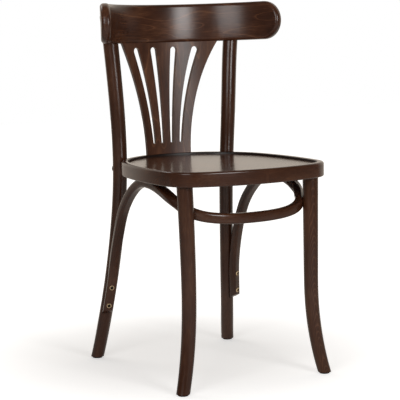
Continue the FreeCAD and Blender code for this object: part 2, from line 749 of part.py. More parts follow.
def group(label, bodies):
    compound = doc.addObject("Part::Compound", label)
    compound.Links = bodies
    return compound


def leg_point(centre, side, height):
    x, y = centre(side, str(height))
    return Vector(size(x), size(y), height)


def sided(side, vector):
    return Vector(side * vector.x, vector.y, vector.z)


def radius_at(kind, height):
    low = size(f"{kind}_foot_radius")
    high = size(f"{kind}_top_radius")
    return low + (high - low) * height / size(f"{kind}_leg_height")


def seat_bolt_set(word, side):
    """Coach bolt, washer and nut that clamp the seat ring to a back post."""
    height = size("bolt_height")
    post = leg_point(rear_leg_centre, side, height)
    hub = Vector(0, size("back_y - back_radius"), height)
    outward = (post - hub).normalize()
    head_seat = post + outward * (radius_at("rear", height) - size("spot_face_deep"))
    inner_radius = size("back_radius - ring_width")
    rim = size("washer_radius")
    dish = inner_radius - math.sqrt(inner_radius ** 2 - rim ** 2)
    washer_seat = hub + outward * (inner_radius - dish)
    nut_seat = washer_seat - outward * size("washer_thick")
    length = (head_seat - nut_seat).Length + size("nut_thick + bolt_tail")
    bolt = aim(coach_bolt(f"seat_bolt_{word}", length), head_seat, outward * -1)
    washer = aim(flat_washer(f"washer_{word}"), washer_seat, outward * -1)
    nut = aim(hex_nut(f"nut_{word}"), nut_seat, outward * -1)
    spot = cylinder(f"spot_face_{word}", "Sizes.bolt_head_radius + 0.4", "10")
    aim(spot, head_seat, outward)
    return bolt, washer, nut, spot


def stretcher_screws(word, side):
    """Screws, bores and cups of the hoop: two in the rear leg, one in the front leg, one in the ring."""
    face = size("hoop_thick / 2")
    length = size("screw_length")
    low = beside_leg(rear_leg_centre, size("lower_screw_z"), REAR_FACING, "rear_seat_gap")
    high = beside_leg(rear_leg_centre, size("upper_screw_z"), REAR_FACING, "rear_seat_gap")
    along = (high - low).normalize()
    rear = sided(side, REAR_FACING - along * REAR_FACING.dot(along)).normalize()
    rear_pairs = []
    cups = []
    for name, middle in (("upper", high), ("lower", low)):
        cup_mouth = sided(side, middle) - rear * (face + size("cup_rise") - 0.15)
        cups.append(aim(cup_washer(f"{name}_cup_{word}"), cup_mouth, rear))
        screw_face = cup_mouth + rear * CUP_LIP
        rear_pairs.append(wood_screw(f"{name}_screw_{word}", length, screw_face, rear, under_cup=True))
    front = sided(side, FRONT_FACING).normalize()
    middle = beside_leg(front_leg_centre, FRONT_SEAT_HEIGHT, FRONT_FACING, "front_seat_gap")
    start = sided(side, middle) - front * (face - 0.3)
    front_pair = wood_screw(f"front_screw_{word}", length, start, front)
    start = Vector(side * 160.5, -18, size("seat_top - ring_height - hoop_thick") + 0.6)
    ring_pair = wood_screw(f"ring_screw_{word}", length, start, Vector(0, 0, 1))
    return rear_pairs, cups, front_pair, ring_pair


def crest_screw_pairs(word, side):
    """Screws from the back of a post into the crest rail, with their bores."""
    pairs = []
    for name, alias in (("upper", "upper_crest_screw_z"), ("lower", "lower_crest_screw_z")):
        height = size(alias)
        post = leg_point(rear_leg_centre, side, height)
        hub = Vector(0, size("crest_mid_y - crest_radius"), height)
        inward = (hub - post).normalize()
        start = post - inward * (radius_at("rear", height) - 0.6)
        pairs.append(wood_screw(f"{name}_crest_screw_{word}", size("crest_screw_length"), start, inward))
    return pairs


SIDES = {"left": 1, "right": -1}
ring_blank = make_ring_blank()
seat_panel = make_seat_panel()
crest_blank = make_crest_blank()
crest_rounded = make_crest_rounded(crest_blank)
splat_blank = make_splat()
hoop_blank = make_hoop_blank()
nodes = [seat_panel]
washers = []
nuts = []
cups_all = []
front_screws = []
ring_screws = []
crest_bores = []
ring_tools = [splat_blank]
hoop_tools = [ring_blank]
for word, side in SIDES.items():
    front_rod = front_leg_blank(side, f"front_rod_{word}")
    rear_rod = rear_leg_blank(side, f"rear_rod_{word}")
    bolt, washer, nut, spot = seat_bolt_set(word, side)
    rear_pairs, cups, front_pair, ring_pair = stretcher_screws(word, side)
    crest_pairs = crest_screw_pairs(word, side)
    rear_bores = [bore for _, bore in rear_pairs]
    post_bores = [bore for _, bore in crest_pairs]
    glides = {}
    for kind, centre in (("front", front_leg_centre), ("rear", rear_leg_centre)):
        foot = leg_point(centre, side, size("glide_thick"))
        foot.z = 0
        glides[kind] = aim(glide(f"{kind}_glide_{word}"), foot, Vector(0, 0, 1))
    front_leg = cut(f"front_leg_{word}", front_rod, [hoop_blank, front_pair[1], glides["front"]])
    rear_leg = cut(f"rear_leg_{word}", rear_rod,
                   [ring_blank, crest_blank, hoop_blank, bolt, spot, glides["rear"]] + rear_bores + post_bores)
    nodes += [front_leg, rear_leg, bolt, glides["front"], glides["rear"]]
    nodes.append(group(f"rear_stretcher_screws_{word}", [screw for screw, _ in rear_pairs]))
    nodes.append(group(f"cup_washers_{word}", cups))
    nodes.append(group(f"crest_screws_{word}", [screw for screw, _ in crest_pairs]))
    washers.append(washer)
    nuts.append(nut)
    front_screws.append(front_pair[0])
    ring_screws.append(ring_pair[0])
    crest_bores += post_bores
    ring_tools += [front_rod, bolt, ring_pair[1]]
    hoop_tools += rear_bores + [front_pair[1], ring_pair[1]]
nodes.append(cut("seat_ring", ring_blank, ring_tools))
nodes.append(cut_in_turn("stretcher_hoop", hoop_blank, hoop_tools[::-1]))
nodes.append(cut("crest_rail", crest_rounded, [splat_blank] + crest_bores))
splat = doc.addObject("Part::Refine", "splat")
splat.Source = splat_blank
nodes.append(splat)
nodes.append(group("bolt_washers", washers))
nodes.append(group("bolt_nuts", nuts))
nodes.append(group("front_stretcher_screws", front_screws))
nodes.append(group("ring_stretcher_screws", ring_screws))
doc.recompute()

# Checks, then one file for each node

for item in doc.Objects:
    if "Invalid" in item.State or "Error" in item.State:
        raise RuntimeError(f"{item.Label}: {item.State}")
os.makedirs("parts", exist_ok=True)
for node in nodes:
    shape = node.Shape
    if shape.isNull() or not shape.isValid():
        raise RuntimeError(f"{node.Label} is not a valid solid")
    shape.exportStep(os.path.join("parts", node.Label + ".step"))
    print(f"{node.Label}: {len(shape.Solids)} solids, {shape.Volume / 1000:.1f} cm3")
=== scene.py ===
# %% [markdown]
# A bentwood dining chair
#
# Steam-bent beech rods, a bent seat rim, a moulded plywood fan and a tall bent top rail, all stained dark
# walnut and lacquered. The CAD model gives every shape, and all lengths here are in metres, as in the CAD
# frame. This lesson turns the CAD's loose triangles into smooth surfaces, lets a wood grain follow each
# bend, finishes the small metal parts, and lights the chair as in a studio.

# %% Load the frame
import json
import math
import bmesh
import bpy
from mathutils import Matrix, Vector


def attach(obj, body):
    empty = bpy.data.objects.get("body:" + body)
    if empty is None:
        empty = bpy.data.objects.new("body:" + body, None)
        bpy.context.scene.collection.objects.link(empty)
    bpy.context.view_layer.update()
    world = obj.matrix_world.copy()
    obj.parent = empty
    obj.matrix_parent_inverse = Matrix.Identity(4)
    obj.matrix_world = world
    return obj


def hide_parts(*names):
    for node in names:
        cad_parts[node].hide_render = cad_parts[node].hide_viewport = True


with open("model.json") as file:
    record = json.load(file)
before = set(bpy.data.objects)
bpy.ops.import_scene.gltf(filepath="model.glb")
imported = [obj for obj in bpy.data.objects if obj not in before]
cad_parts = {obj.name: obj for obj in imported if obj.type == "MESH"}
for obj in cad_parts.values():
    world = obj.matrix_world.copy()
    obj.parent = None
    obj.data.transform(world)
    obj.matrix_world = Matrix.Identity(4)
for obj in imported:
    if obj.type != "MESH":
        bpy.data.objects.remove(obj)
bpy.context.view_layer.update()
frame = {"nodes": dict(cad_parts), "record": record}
MM = 0.001
print("nodes:", len(frame["nodes"]))

# %% [markdown]
# Smooth skins over the CAD
#
# A CAD node arrives as loose triangles, which glossy lacquer would show as facets. A subdivision surface
# would hide them too, but it would also round the crisp rims. So each piece is copied into a bmesh, its
# doubled corners are merged, and only edges sharper than a set angle stay crisp. The copy has the same
# shape as the solid, so it takes the solid's place.

# %% Copy a node and smooth it
CREASE = math.radians(32)
SAME_POINT = 0.02 * MM


def skin(node, crease=CREASE):
    """A merged, smooth-shaded copy of a CAD node that rides on the chair and replaces the node."""
    source = frame["nodes"][node]
    bm = bmesh.new()
    bm.from_mesh(source.data)
    bmesh.ops.remove_doubles(bm, verts=bm.verts, dist=SAME_POINT)
    bmesh.ops.dissolve_degenerate(bm, edges=bm.edges, dist=SAME_POINT)
    for face in bm.faces:
        face.smooth = True
    for edge in bm.edges:
        edge.smooth = not (edge.is_manifold and edge.calc_face_angle(0) > crease)
    mesh = bpy.data.meshes.new(node + "_skin")
    bm.to_mesh(mesh)
    bm.free()
    piece = bpy.data.objects.new(node + "_skin", mesh)
    bpy.context.scene.collection.objects.link(piece)
    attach(piece, "root")
    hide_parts(node)
    return piece


# %% [markdown]
# Grain that follows the bends
#
# A rod that is bent from straight stock keeps its fibres along its length. A grain on plain object
# coordinates would cut straight through the bends, and unwrapping each piece would leave seams. So each
# vertex gets three numbers in metres, kept in an attribute: how far along the piece it lies, and where it
# lies across the piece. The wood material reads that attribute, so one material suits straight legs and
# round rims alike.

# %% Store where each vertex lies in its own stock
SIDE_MIX = (0.4, 0.7)    # how much of the depth is mixed into the two numbers across a path


def set_grain(piece, place, shift):
    """Fill the grain attribute from a function of the vertex; the shift takes another part of the plank."""
    layer = piece.data.attributes.new("grain", "FLOAT_VECTOR", "POINT")
    for vertex, value in zip(piece.data.vertices, layer.data):
        value.vector = place(vertex.co) + shift


def along_bend(centre, radius, tilt=0.0):
    """Stock bent round an upright axis: length is the angle times the radius."""
    untilt = Matrix.Rotation(tilt, 3, "X")

    def place(point):
        local = untilt @ (point - centre)
        angle = math.atan2(local.x, local.y)
        return Vector((angle * radius, math.hypot(local.x, local.y) - radius, local.z))
    return place


def along_path(points):
    """Stock that follows a line of points: length is the distance along the nearest run. What is left across
    the run has three parts, and they are mixed into two, so that the figure holds wherever the rod turns."""
    runs = []
    length = 0.0
    for start, end in zip(points, points[1:]):
        runs.append((start, end - start, (end - start).length, length))
        length += (end - start).length

    def place(point):
        best = None
        for start, run, size, before in runs:
            share = min(1.0, max(0.0, (point - start).dot(run) / (size * size)))
            off = point - start - run * share
            if best is None or off.length_squared < best[0]:
                best = (off.length_squared, before + share * size, off)
        length_there, off = best[1:]
        return Vector((length_there, off.x + off.y * SIDE_MIX[0], off.z + off.y * SIDE_MIX[1]))
    return place


# %% [markdown]
# Walnut-stained beech under lacquer
#
# Beech is a fine, even wood. Stain sinks into it unevenly, so it is clouded, and the edge of each growth
# ring takes less stain and stays as a thin lighter line. Where a plank is sawn across the rings these lines
# run in long loops and pointed arches. A wave texture would repeat too evenly, so they are drawn here as
# the height lines of a smooth noise that is stretched along the fibres. The lacquer on top is smooth and
# clear: a dielectric with an IOR near 1.5 and a low roughness, which gives the eye crisp bright bands on
# every round rod.

# %% Colour and node helpers
def linear(hex_colour):
    """A linear RGBA colour from an sRGB hex value."""
    channels = [int(hex_colour[i:i + 2], 16) / 255 for i in (1, 3, 5)]
    return [c / 12.92 if c <= 0.04045 else ((c + 0.055) / 1.055) ** 2.4 for c in channels] + [1.0]


def add(material, kind, sockets=None, stops=(), **fields):
    """Add a node to a material or world. Sockets, by name or number, take a value or another node's output to
    link. Stops are the places and hex colours of a ramp, and fields are the node's own settings."""
    node = material.node_tree.nodes.new(kind)
    for name, value in fields.items():
        setattr(node, name, value)
    for socket, value in (sockets or {}).items():
        if isinstance(value, bpy.types.NodeSocket):
            material.node_tree.links.new(value, node.inputs[socket])
        else:
            node.inputs[socket].default_value = value
    while stops and len(node.color_ramp.elements) < len(stops):
        node.color_ramp.elements.new(0.5)
    for number, (place, colour) in enumerate(stops):
        node.color_ramp.elements[number].position = place
        node.color_ramp.elements[number].color = linear(colour)
    return node


def empty_material(name):
    """A new material with no nodes yet."""
    material = bpy.data.materials.new(name)
    material.use_nodes = True
    material.node_tree.nodes.clear()
    return material


# %% The stained wood
RING_LINES = 10                   # growth rings drawn over the full height of the noise
LINE_SHARE = 0.12                 # part of a ring that its pale edge takes
ARROW_SPACING = 17 * MM           # from one stacked arrowhead to the next, along the rod
ARROW_RING = 1.3 * MM             # ring width; the real one is about half, too fine to show
ARROW_SHARE = 0.45                # the same part where the rings are stacked arrowheads
ARROW_SWAY = 4.0                  # how many rings the arrowheads wander
FIBRE_LENGTH = 22 * MM
FIBRE_WIDTH = 1.6 * MM            # real fibres are about 0.2 mm wide, drawn coarse enough to show
FIBRE_SHARE = 0.3                 # part of the tone that comes from the fibres; the clouds give the rest
CLOUDS_PER_METRE = (9, 24, 24)    # clouds of stain about 110 mm long and 40 mm wide
LIGHT_REACH = 1.3                 # the lightest tone lies this many times as far out as the darkest
PORE_DEPTH = 0.1 * MM
PORE_STRENGTH = 0.12              # lacquer fills most of each pore
LACQUER_IOR = 1.5


def stained_wood(name, stain, roughness, loop, line_strength, cloud_spread, heart=None):
    """Stained wood read from the grain attribute; loop is the length and width of a grain loop in metres,
    and heart is where the middle of the tree lies beside the rod, for the arrowheads of slanting rings."""
    material = empty_material(name)
    grain = add(material, "ShaderNodeAttribute", attribute_name="grain").outputs["Vector"]

    per_loop = (1 / loop[0], 1 / loop[1], 1 / loop[1])
    loop_place = add(material, "ShaderNodeMapping", {"Vector": grain, "Scale": per_loop}).outputs["Vector"]
    loops = add(material, "ShaderNodeTexNoise",
                {"Vector": loop_place, "Scale": 1.0, "Detail": 1.0, "Roughness": 0.3, "Distortion": 0.2})
    rings = add(material, "ShaderNodeMath",
                {0: loops.outputs["Fac"], 1: ARROW_SWAY if heart else RING_LINES}, operation="MULTIPLY")
    if heart:
        across = add(material, "ShaderNodeMapping",
                     {"Vector": grain, "Location": (0, -heart[0], -heart[1]), "Scale": (0, 1, 1)})
        from_heart = add(material, "ShaderNodeVectorMath", {0: across.outputs["Vector"]}, operation="LENGTH")
        slant = add(material, "ShaderNodeVectorMath", {0: grain, 1: (-ARROW_RING / ARROW_SPACING, 0, 0)},
                    operation="DOT_PRODUCT")
        slanted = add(material, "ShaderNodeMath", {0: from_heart.outputs["Value"], 1: slant.outputs["Value"]},
                      operation="ADD")
        arrows = add(material, "ShaderNodeMath", {0: slanted.outputs[0], 1: 1 / ARROW_RING},
                     operation="MULTIPLY")
        rings = add(material, "ShaderNodeMath", {0: rings.outputs[0], 1: arrows.outputs[0]}, operation="ADD")
    within_ring = add(material, "ShaderNodeMath", {0: rings.outputs[0]}, operation="FRACT")
    line = add(material, "ShaderNodeMapRange",
               {"Value": within_ring.outputs[0], "From Min": 1 - (ARROW_SHARE if heart else LINE_SHARE),
                "To Max": line_strength}, interpolation_type="SMOOTHSTEP")

    per_fibre = (1 / FIBRE_LENGTH, 1 / FIBRE_WIDTH, 1 / FIBRE_WIDTH)
    fibre_place = add(material, "ShaderNodeMapping", {"Vector": grain, "Scale": per_fibre}).outputs["Vector"]
    fibres = add(material, "ShaderNodeTexNoise", {"Vector": fibre_place, "Scale": 1.0, "Detail": 2.0})
    cloud_place = add(material, "ShaderNodeMapping",
                      {"Vector": grain, "Scale": CLOUDS_PER_METRE}).outputs["Vector"]
    clouds = add(material, "ShaderNodeTexNoise",
                 {"Vector": cloud_place, "Scale": 1.0, "Detail": 3.0, "Roughness": 0.55})
    tone = add(material, "ShaderNodeMix",
               {"A": clouds.outputs["Fac"], "B": fibres.outputs["Fac"], "Factor": FIBRE_SHARE})
    total = add(material, "ShaderNodeMath", {0: tone.outputs["Result"], 1: line.outputs["Result"]},
                operation="ADD")
    stops = [(0.5 - cloud_spread, stain[0]), (0.5, stain[1]), (0.5 + LIGHT_REACH * cloud_spread, stain[2])]
    colour = add(material, "ShaderNodeValToRGB", {"Fac": total.outputs[0]}, stops)

    pores = add(material, "ShaderNodeBump",
                {"Height": fibres.outputs["Fac"], "Strength": PORE_STRENGTH, "Distance": PORE_DEPTH})
    shader = add(material, "ShaderNodeBsdfPrincipled",
                 {"Base Color": colour.outputs["Color"], "Normal": pores.outputs["Normal"],
                  "Roughness": roughness, "IOR": LACQUER_IOR})
    add(material, "ShaderNodeOutputMaterial", {"Surface": shader.outputs["BSDF"]})
    return material


# %% [markdown]
# The woods of this chair
#
# One kind of wood and stain could serve the whole chair, but each piece was cut and finished in its own
# way. The plank of the crest rail is sawn across the rings, so it shows wide loops. The rods are split
# along the fibres, so they show thin straight lines, and one front leg has the stacked arrowheads of rings
# that leave the rod at a slant. The seat panel is glossy face veneer, which mirrors the back of the chair.
# The fan has a satin lacquer, so its reflections are soft. The inner wall of the groove round the panel lies
# in shade, and that shade is painted on it as an almost black colour.

# %% Mix the woods
PLANK_STAIN = ("#2a140b", "#46281a", "#774e35")
ROD_STAIN = ("#26120a", "#422517", "#6a4630")
PANEL_STAIN = ("#2c170e", "#4c2e20", "#7a5239")
FAN_STAIN = ("#2e190f", "#4f2f1f", "#7c5238")
# The groove colours are painted shade: the rim's inner wall is dark because it lies in shade, not from stain.
GROOVE_SHADE_COLOURS = ("#0d0604", "#170b07", "#24130c")
plank = stained_wood("walnut_stained_beech_plank", PLANK_STAIN, roughness=0.25, loop=(0.34, 0.060),
                     line_strength=0.20, cloud_spread=0.26)
rod = stained_wood("walnut_stained_beech_rod", ROD_STAIN, roughness=0.21, loop=(0.30, 0.024),
                   line_strength=0.09, cloud_spread=0.38)
figured_rod = stained_wood("walnut_stained_figured_rod", ROD_STAIN, roughness=0.21, loop=(0.085, 0.020),
                           line_strength=0.22, cloud_spread=0.38, heart=(0.017, 0.0985))
plywood = stained_wood("walnut_stained_plywood", PANEL_STAIN, roughness=0.20, loop=(0.30, 0.060),
                       line_strength=0.20, cloud_spread=0.28)
satin_plywood = stained_wood("satin_walnut_stained_plywood", FAN_STAIN, roughness=0.35, loop=(0.30, 0.060),
                             line_strength=0.20, cloud_spread=0.28)
painted_shade_groove_wood = stained_wood("painted_shade_groove", GROOVE_SHADE_COLOURS, roughness=0.4, loop=(0.30, 0.024),
                           line_strength=0.05, cloud_spread=0.40)
print("woods:", [wood.name for wood in (plank, rod, figured_rod, plywood, satin_plywood, painted_shade_groove_wood)])

# %% [markdown]
# The legs
#
# The four legs are round rods, bent while hot, so their fibres follow the bend. A drawn path for each leg
# would repeat what the solid already says, so the leg is cut into slices by height, and the middle of each
# slice gives the line of the bend. Where a vertex lies is measured from that line.

# %% Legs with grain that follows the bend
SLICES = 20
SLICE_REACH = 0.75    # in slices: how far above and below a height its corners are gathered


def along_leg(leg):
    """Stock bent into a leg: length is the height, and the rest is measured from the middle of the slice."""
    corners = [vert.co for vert in leg.data.vertices]
    step = max(corner.z for corner in corners) / SLICES
    middles = []
    for number in range(SLICES + 1):
        near = [corner for corner in corners if abs(corner.z - number * step) < step * SLICE_REACH]
        middles.append(Vector(((min(c.x for c in near) + max(c.x for c in near)) / 2,
                               (min(c.y for c in near) + max(c.y for c in near)) / 2, 0)))

    def place(point):
        number = min(SLICES - 1, int(point.z / step))
        middle = middles[number].lerp(middles[number + 1], point.z / step - number)
        return Vector((point.z, point.x - middle.x, point.y - middle.y))
    return place


# Each leg comes from another part of the wood, so each has a shift of its own.
LEG_SHIFTS = {"front_leg_left": 0.0, "front_leg_right": 0.7, "rear_leg_left": 1.9, "rear_leg_right": 3.1}
SHIFT_ACROSS = (0.31, -0.17)    # how far a shift also goes sideways, as shares of its length
for node, shift in LEG_SHIFTS.items():
    leg = skin(node)
    set_grain(leg, along_leg(leg), shift=Vector((shift, shift * SHIFT_ACROSS[0], shift * SHIFT_ACROSS[1])))
    leg.data.materials.append(figured_rod if node == "front_leg_left" else rod)
    print(node, "triangles:", len(leg.data.polygons))

# %% [markdown]
# Seat rim and panel
#
# The rim is one bent plank, so its grain runs round the seat. The panel is flat plywood, with its face veneer
# running from front to back. The dark line between them could be a separate strip, but on the real seat it
# is only shade on the inner wall of the rim, so the faces of that wall take an almost black colour: painted
# shade.

# %% Seat with bent and flat grain
SEAT_CENTRE = Vector((0, 0.005, 0.45))
SEAT_RADIUS = 0.2
GROOVE_BOTTOM = 0.44
FACES_INWARD = 0.6    # cosine of the angle between a groove face and the way to the middle
ring = skin("seat_ring")
set_grain(ring, along_bend(SEAT_CENTRE, SEAT_RADIUS), shift=Vector((4.4, 0.1, 0.2)))
ring.data.materials.append(rod)
# The second slot holds the near-black painted shade for the rim's inner wall.
ring.data.materials.append(painted_shade_groove_wood)
for face in ring.data.polygons:
    inward = SEAT_CENTRE - face.center
    inward.z = 0
    if face.center.z > GROOVE_BOTTOM and face.normal.dot(inward.normalized()) > FACES_INWARD:
        face.material_index = 1
print("faces in the dark groove:", sum(face.material_index for face in ring.data.polygons))
panel = skin("seat_panel")
set_grain(panel, lambda point: Vector((point.y, point.x, point.z)), shift=Vector((5.3, -0.02, 0.0)))
panel.data.materials.append(plywood)

# %% [markdown]
# Crest rail and fan
#
# The top rail is a thick plank bent round the sitter's shoulders, so its grain turns about the same axis as
# the bend, which leans back a little. The fan is moulded plywood with an upright face veneer. It bends so
# little that its grain can follow plain height and width.

# %% Back pieces
CREST_AXIS = Vector((0, -0.0226, 0.7205))
CREST_RADIUS = 0.2285
CREST_TILT = math.radians(2.2)
crest = skin("crest_rail")
set_grain(crest, along_bend(CREST_AXIS, CREST_RADIUS, CREST_TILT), shift=Vector((7.1, 0.0, -0.06)))
crest.data.materials.append(plank)
fan = skin("splat")
set_grain(fan, lambda point: Vector((point.z, point.x, point.y)), shift=Vector((9.2, 0.05, 0.1)))
fan.data.materials.append(satin_plywood)
print("crest rail and fan triangles:", len(crest.data.polygons), len(fan.data.polygons))

# %% [markdown]
# The stretcher hoop
#
# One long rod rises from the back legs, runs under the seat and bends round the front. Slices by height
# would not do here, because the rod turns level, so its grain follows a path of points down its middle.

# %% Hoop with grain along its path
# The sitter's left half in millimetres, from the foot on the rear leg up, forwards and round to the front
HALF_PATH = [(162, 191, 105), (156, 167, 180), (159, 155, 234), (158, 135, 296), (158, 107, 352),
             (160, 64, 396), (160, 11, 424), (160, -47, 424), (157, -113, 404), (133, -160, 377),
             (72, -184, 362)]


def mirrored(vector, side):
    """The vector itself on the sitter's left, where side is 1, and its mirror image where side is -1."""
    return Vector((vector.x * side, vector.y, vector.z))


left_half = [Vector(point) * MM for point in HALF_PATH]
right_half = [mirrored(point, -1) for point in reversed(left_half)]
hoop = skin("stretcher_hoop")
set_grain(hoop, along_path(left_half + right_half), shift=Vector((11.5, 0.2, 0.1)))
hoop.data.materials.append(rod)
print("hoop triangles:", len(hoop.data.polygons))

# %% [markdown]
# Slanted ends of the hoop
#
# The rod is sawn at a slant where it ends on the rear legs, so that it seems to run out into them. The
# solid ends square. A boolean cutter would do, but a plane is simpler: the square end is drawn down the leg
# by a few millimetres, a plane is put through its lowest edge, beside the leg, and what lies below the
# plane is cut away.

# %% Saw both ends at a slant
TOWARDS_LEG = Vector((-0.349, 0.937, 0))
DOWN_THE_LEG = Vector((0.107, 0.187, -0.976))
HALF_ROD = 9.5 * MM
HOOP_FOOT = Vector((169.4, 178.0, 113.6)) * MM + TOWARDS_LEG * HALF_ROD
SQUARE_END_TOP = 114.6 * MM    # only the corners of the square end lie lower than this
LOW_PART_TOP = 124 * MM        # the plane only meets faces that reach lower than this
DRAWN_DOWN = 5 * MM
SLANT = math.radians(27)
SAW = TOWARDS_LEG * -math.sin(SLANT) + Vector((0, 0, -math.cos(SLANT)))

bm = bmesh.new()
bm.from_mesh(hoop.data)
for side in (1, -1):
    square_end = [vert for vert in bm.verts if vert.co.z < SQUARE_END_TOP and vert.co.x * side > 0]
    bmesh.ops.translate(bm, verts=square_end, vec=mirrored(DOWN_THE_LEG, side) * DRAWN_DOWN)
    low = [face for face in bm.faces
           if min(vert.co.z for vert in face.verts) < LOW_PART_TOP and face.verts[0].co.x * side > 0]
    low_edges = list(dict.fromkeys(edge for face in low for edge in face.edges))
    low_verts = list(dict.fromkeys(vert for face in low for vert in face.verts))
    cut = bmesh.ops.bisect_plane(bm, geom=low + low_edges + low_verts, dist=0.01 * MM,
                                 plane_co=mirrored(HOOP_FOOT + DOWN_THE_LEG * DRAWN_DOWN, side),
                                 plane_no=mirrored(SAW, side), clear_outer=True)
    rim = [item for item in cut["geom_cut"] if isinstance(item, bmesh.types.BMEdge) and item.is_boundary]
    end = bmesh.ops.contextual_create(bm, geom=rim)["faces"]
    for edge in {edge for face in end for edge in face.edges}:
        edge.smooth = False
    print("square end vertices:", len(square_end), "slanted end corners:", [len(face.verts) for face in end],
          "open edges:", sum(edge.is_boundary for edge in bm.edges))
bm.to_mesh(hoop.data)
bm.free()

# %% [markdown]
# Metal and plastic
#
# The cups under the stretcher screws are brass, tumbled to a soft shine, so they show as small warm rings.
# The screws sit deep in their recesses and lie in shade there, so they are drawn as near-black steel: painted
# shade, which makes them almost vanish in the wood. The bolts, washers and nuts at the seat are zinc-plated
# steel, a plain grey glint. The glides under the feet are moulded dark nylon, dull and slightly rough. A
# plain colour would look like paint at this size too, so a fine noise varies tone, gloss and relief.

# %% Small parts
SMALL_CREASE = math.radians(25)
GLOSS_SPREAD = (-0.06, 0.08)    # how far the roughness strays to either side
RELIEF_STRENGTH = 0.3


def speckled(name, tones, metallic, roughness, grit, depth):
    """A plain finish with a fine uneven surface; grit is the width of its grains and depth their relief."""
    material = empty_material(name)
    place = add(material, "ShaderNodeTexCoord").outputs["Object"]
    noise = add(material, "ShaderNodeTexNoise",
                {"Vector": place, "Scale": 1 / grit, "Detail": 2.0}).outputs["Fac"]
    tone = add(material, "ShaderNodeValToRGB", {"Fac": noise}, [(0.3, tones[0]), (0.7, tones[1])])
    rough = add(material, "ShaderNodeMapRange",
                {"Value": noise, "To Min": roughness + GLOSS_SPREAD[0],
                 "To Max": roughness + GLOSS_SPREAD[1]})
    relief = add(material, "ShaderNodeBump",
                 {"Height": noise, "Strength": RELIEF_STRENGTH, "Distance": depth})
    shader = add(material, "ShaderNodeBsdfPrincipled",
                 {"Base Color": tone.outputs["Color"], "Roughness": rough.outputs["Result"],
                  "Normal": relief.outputs["Normal"], "Metallic": metallic})
    add(material, "ShaderNodeOutputMaterial", {"Surface": shader.outputs["BSDF"]})
    return material


# The grit of a tumbled or plated surface is finer than this, too fine to show, so it is drawn coarser.
brass = speckled("tumbled_brass", ("#ecd0a0", "#fbe6c4"), metallic=1.0, roughness=0.5,
                 grit=0.8 * MM, depth=0.02 * MM)
zinc = speckled("zinc_plated_steel", ("#7c7a76", "#a09d98"), metallic=1.0, roughness=0.38,
                grit=0.7 * MM, depth=0.02 * MM)
# Near-black steel for the screws: painted shade of the recesses they sit in.
shade_dark_steel = speckled("painted_shade_dark_steel", ("#2a221c", "#3c3028"), metallic=1.0, roughness=0.45,
                      grit=0.7 * MM, depth=0.02 * MM)
nylon = speckled("moulded_dark_nylon", ("#1c120d", "#2b1c15"), metallic=0.0, roughness=0.5,
                 grit=0.6 * MM, depth=0.04 * MM)
FINISHES = {"brass": brass, "zinc_steel": zinc, "glide_plastic": nylon}
# These screws take the near-black painted shade colour in place of the finish of their slot.
SHADE_DARK_SCREWS = ("stretcher_screws", "crest_screws")
small_parts = [entry for entry in frame["record"]["subparts"] if entry["material_slot"] in FINISHES]
for entry in small_parts:
    small = skin(entry["node"], SMALL_CREASE)
    in_shade = any(words in entry["node"] for words in SHADE_DARK_SCREWS)
    small.data.materials.append(shade_dark_steel if in_shade else FINISHES[entry["material_slot"]])
print("finished small parts:", len(small_parts))

# %% [markdown]
# Floor and backdrop
#
# The chair stands on a pale floor that sweeps up into a white backdrop behind it, and the rest of the room
# is dim. A real studio lights such a floor hard. More light would wash out the chair here, so the floor
# glows white only for the camera and keeps the chair's shadow. Near the chair the glow is weaker, which
# paints a grey shadow pool round the feet on top of that real shadow. The lacquer sees the backdrop too,
# dimmer and a little warm, and only where it hangs, so floor and world share one rule for its direction.

# %% Where the backdrop is
BACKDROP = math.radians(146)
BACKDROP_EDGE = (0.27, 0.67)    # cosines of the angle from its middle, where it begins and where it is full
BACKDROP_WHITE = 0.85
FLOOR_WHITE = 0.45
ROOM_DIM = 0.08
PLAIN_WHITE = "#ffffff"
WARM_WHITE = "#fff3e4"


def backdrop_light(material, direction, dim, white):
    """Light from a direction round the chair: dim beside the backdrop, white on it; angle 0 is in front."""
    middle = (math.sin(BACKDROP), -math.cos(BACKDROP), 0)
    toward = add(material, "ShaderNodeVectorMath", {0: direction, 1: middle}, operation="DOT_PRODUCT")
    light = add(material, "ShaderNodeMapRange",
                {"Value": toward.outputs["Value"], "From Min": BACKDROP_EDGE[0], "From Max": BACKDROP_EDGE[1],
                 "To Min": dim, "To Max": white}, interpolation_type="SMOOTHSTEP")
    return light.outputs["Result"]


# %% Floor, white with a painted grey shadow pool under the chair
FLOOR_SIZE = 14
FLOOR_GREY = "#dad9d8"
SHADOW_POOL_CENTRE = (-0.01, 0.13, 0)
SHADOW_POOL_RADIUS = (0.10, 0.82)    # where the painted shadow pool starts to fade, and where the floor is white
SHADOW_POOL_GLOW = 0.46
bpy.ops.mesh.primitive_plane_add(size=FLOOR_SIZE, location=(0, 0, 0))
floor = bpy.context.object
floor.name = "studio_floor"
paper = empty_material("pale_studio_floor")
spot = add(paper, "ShaderNodeTexCoord").outputs["Object"]
from_shadow_pool = add(paper, "ShaderNodeVectorMath", {0: spot, 1: SHADOW_POOL_CENTRE},
                operation="SUBTRACT").outputs["Vector"]
reach = add(paper, "ShaderNodeVectorMath", {0: from_shadow_pool}, operation="LENGTH").outputs["Value"]
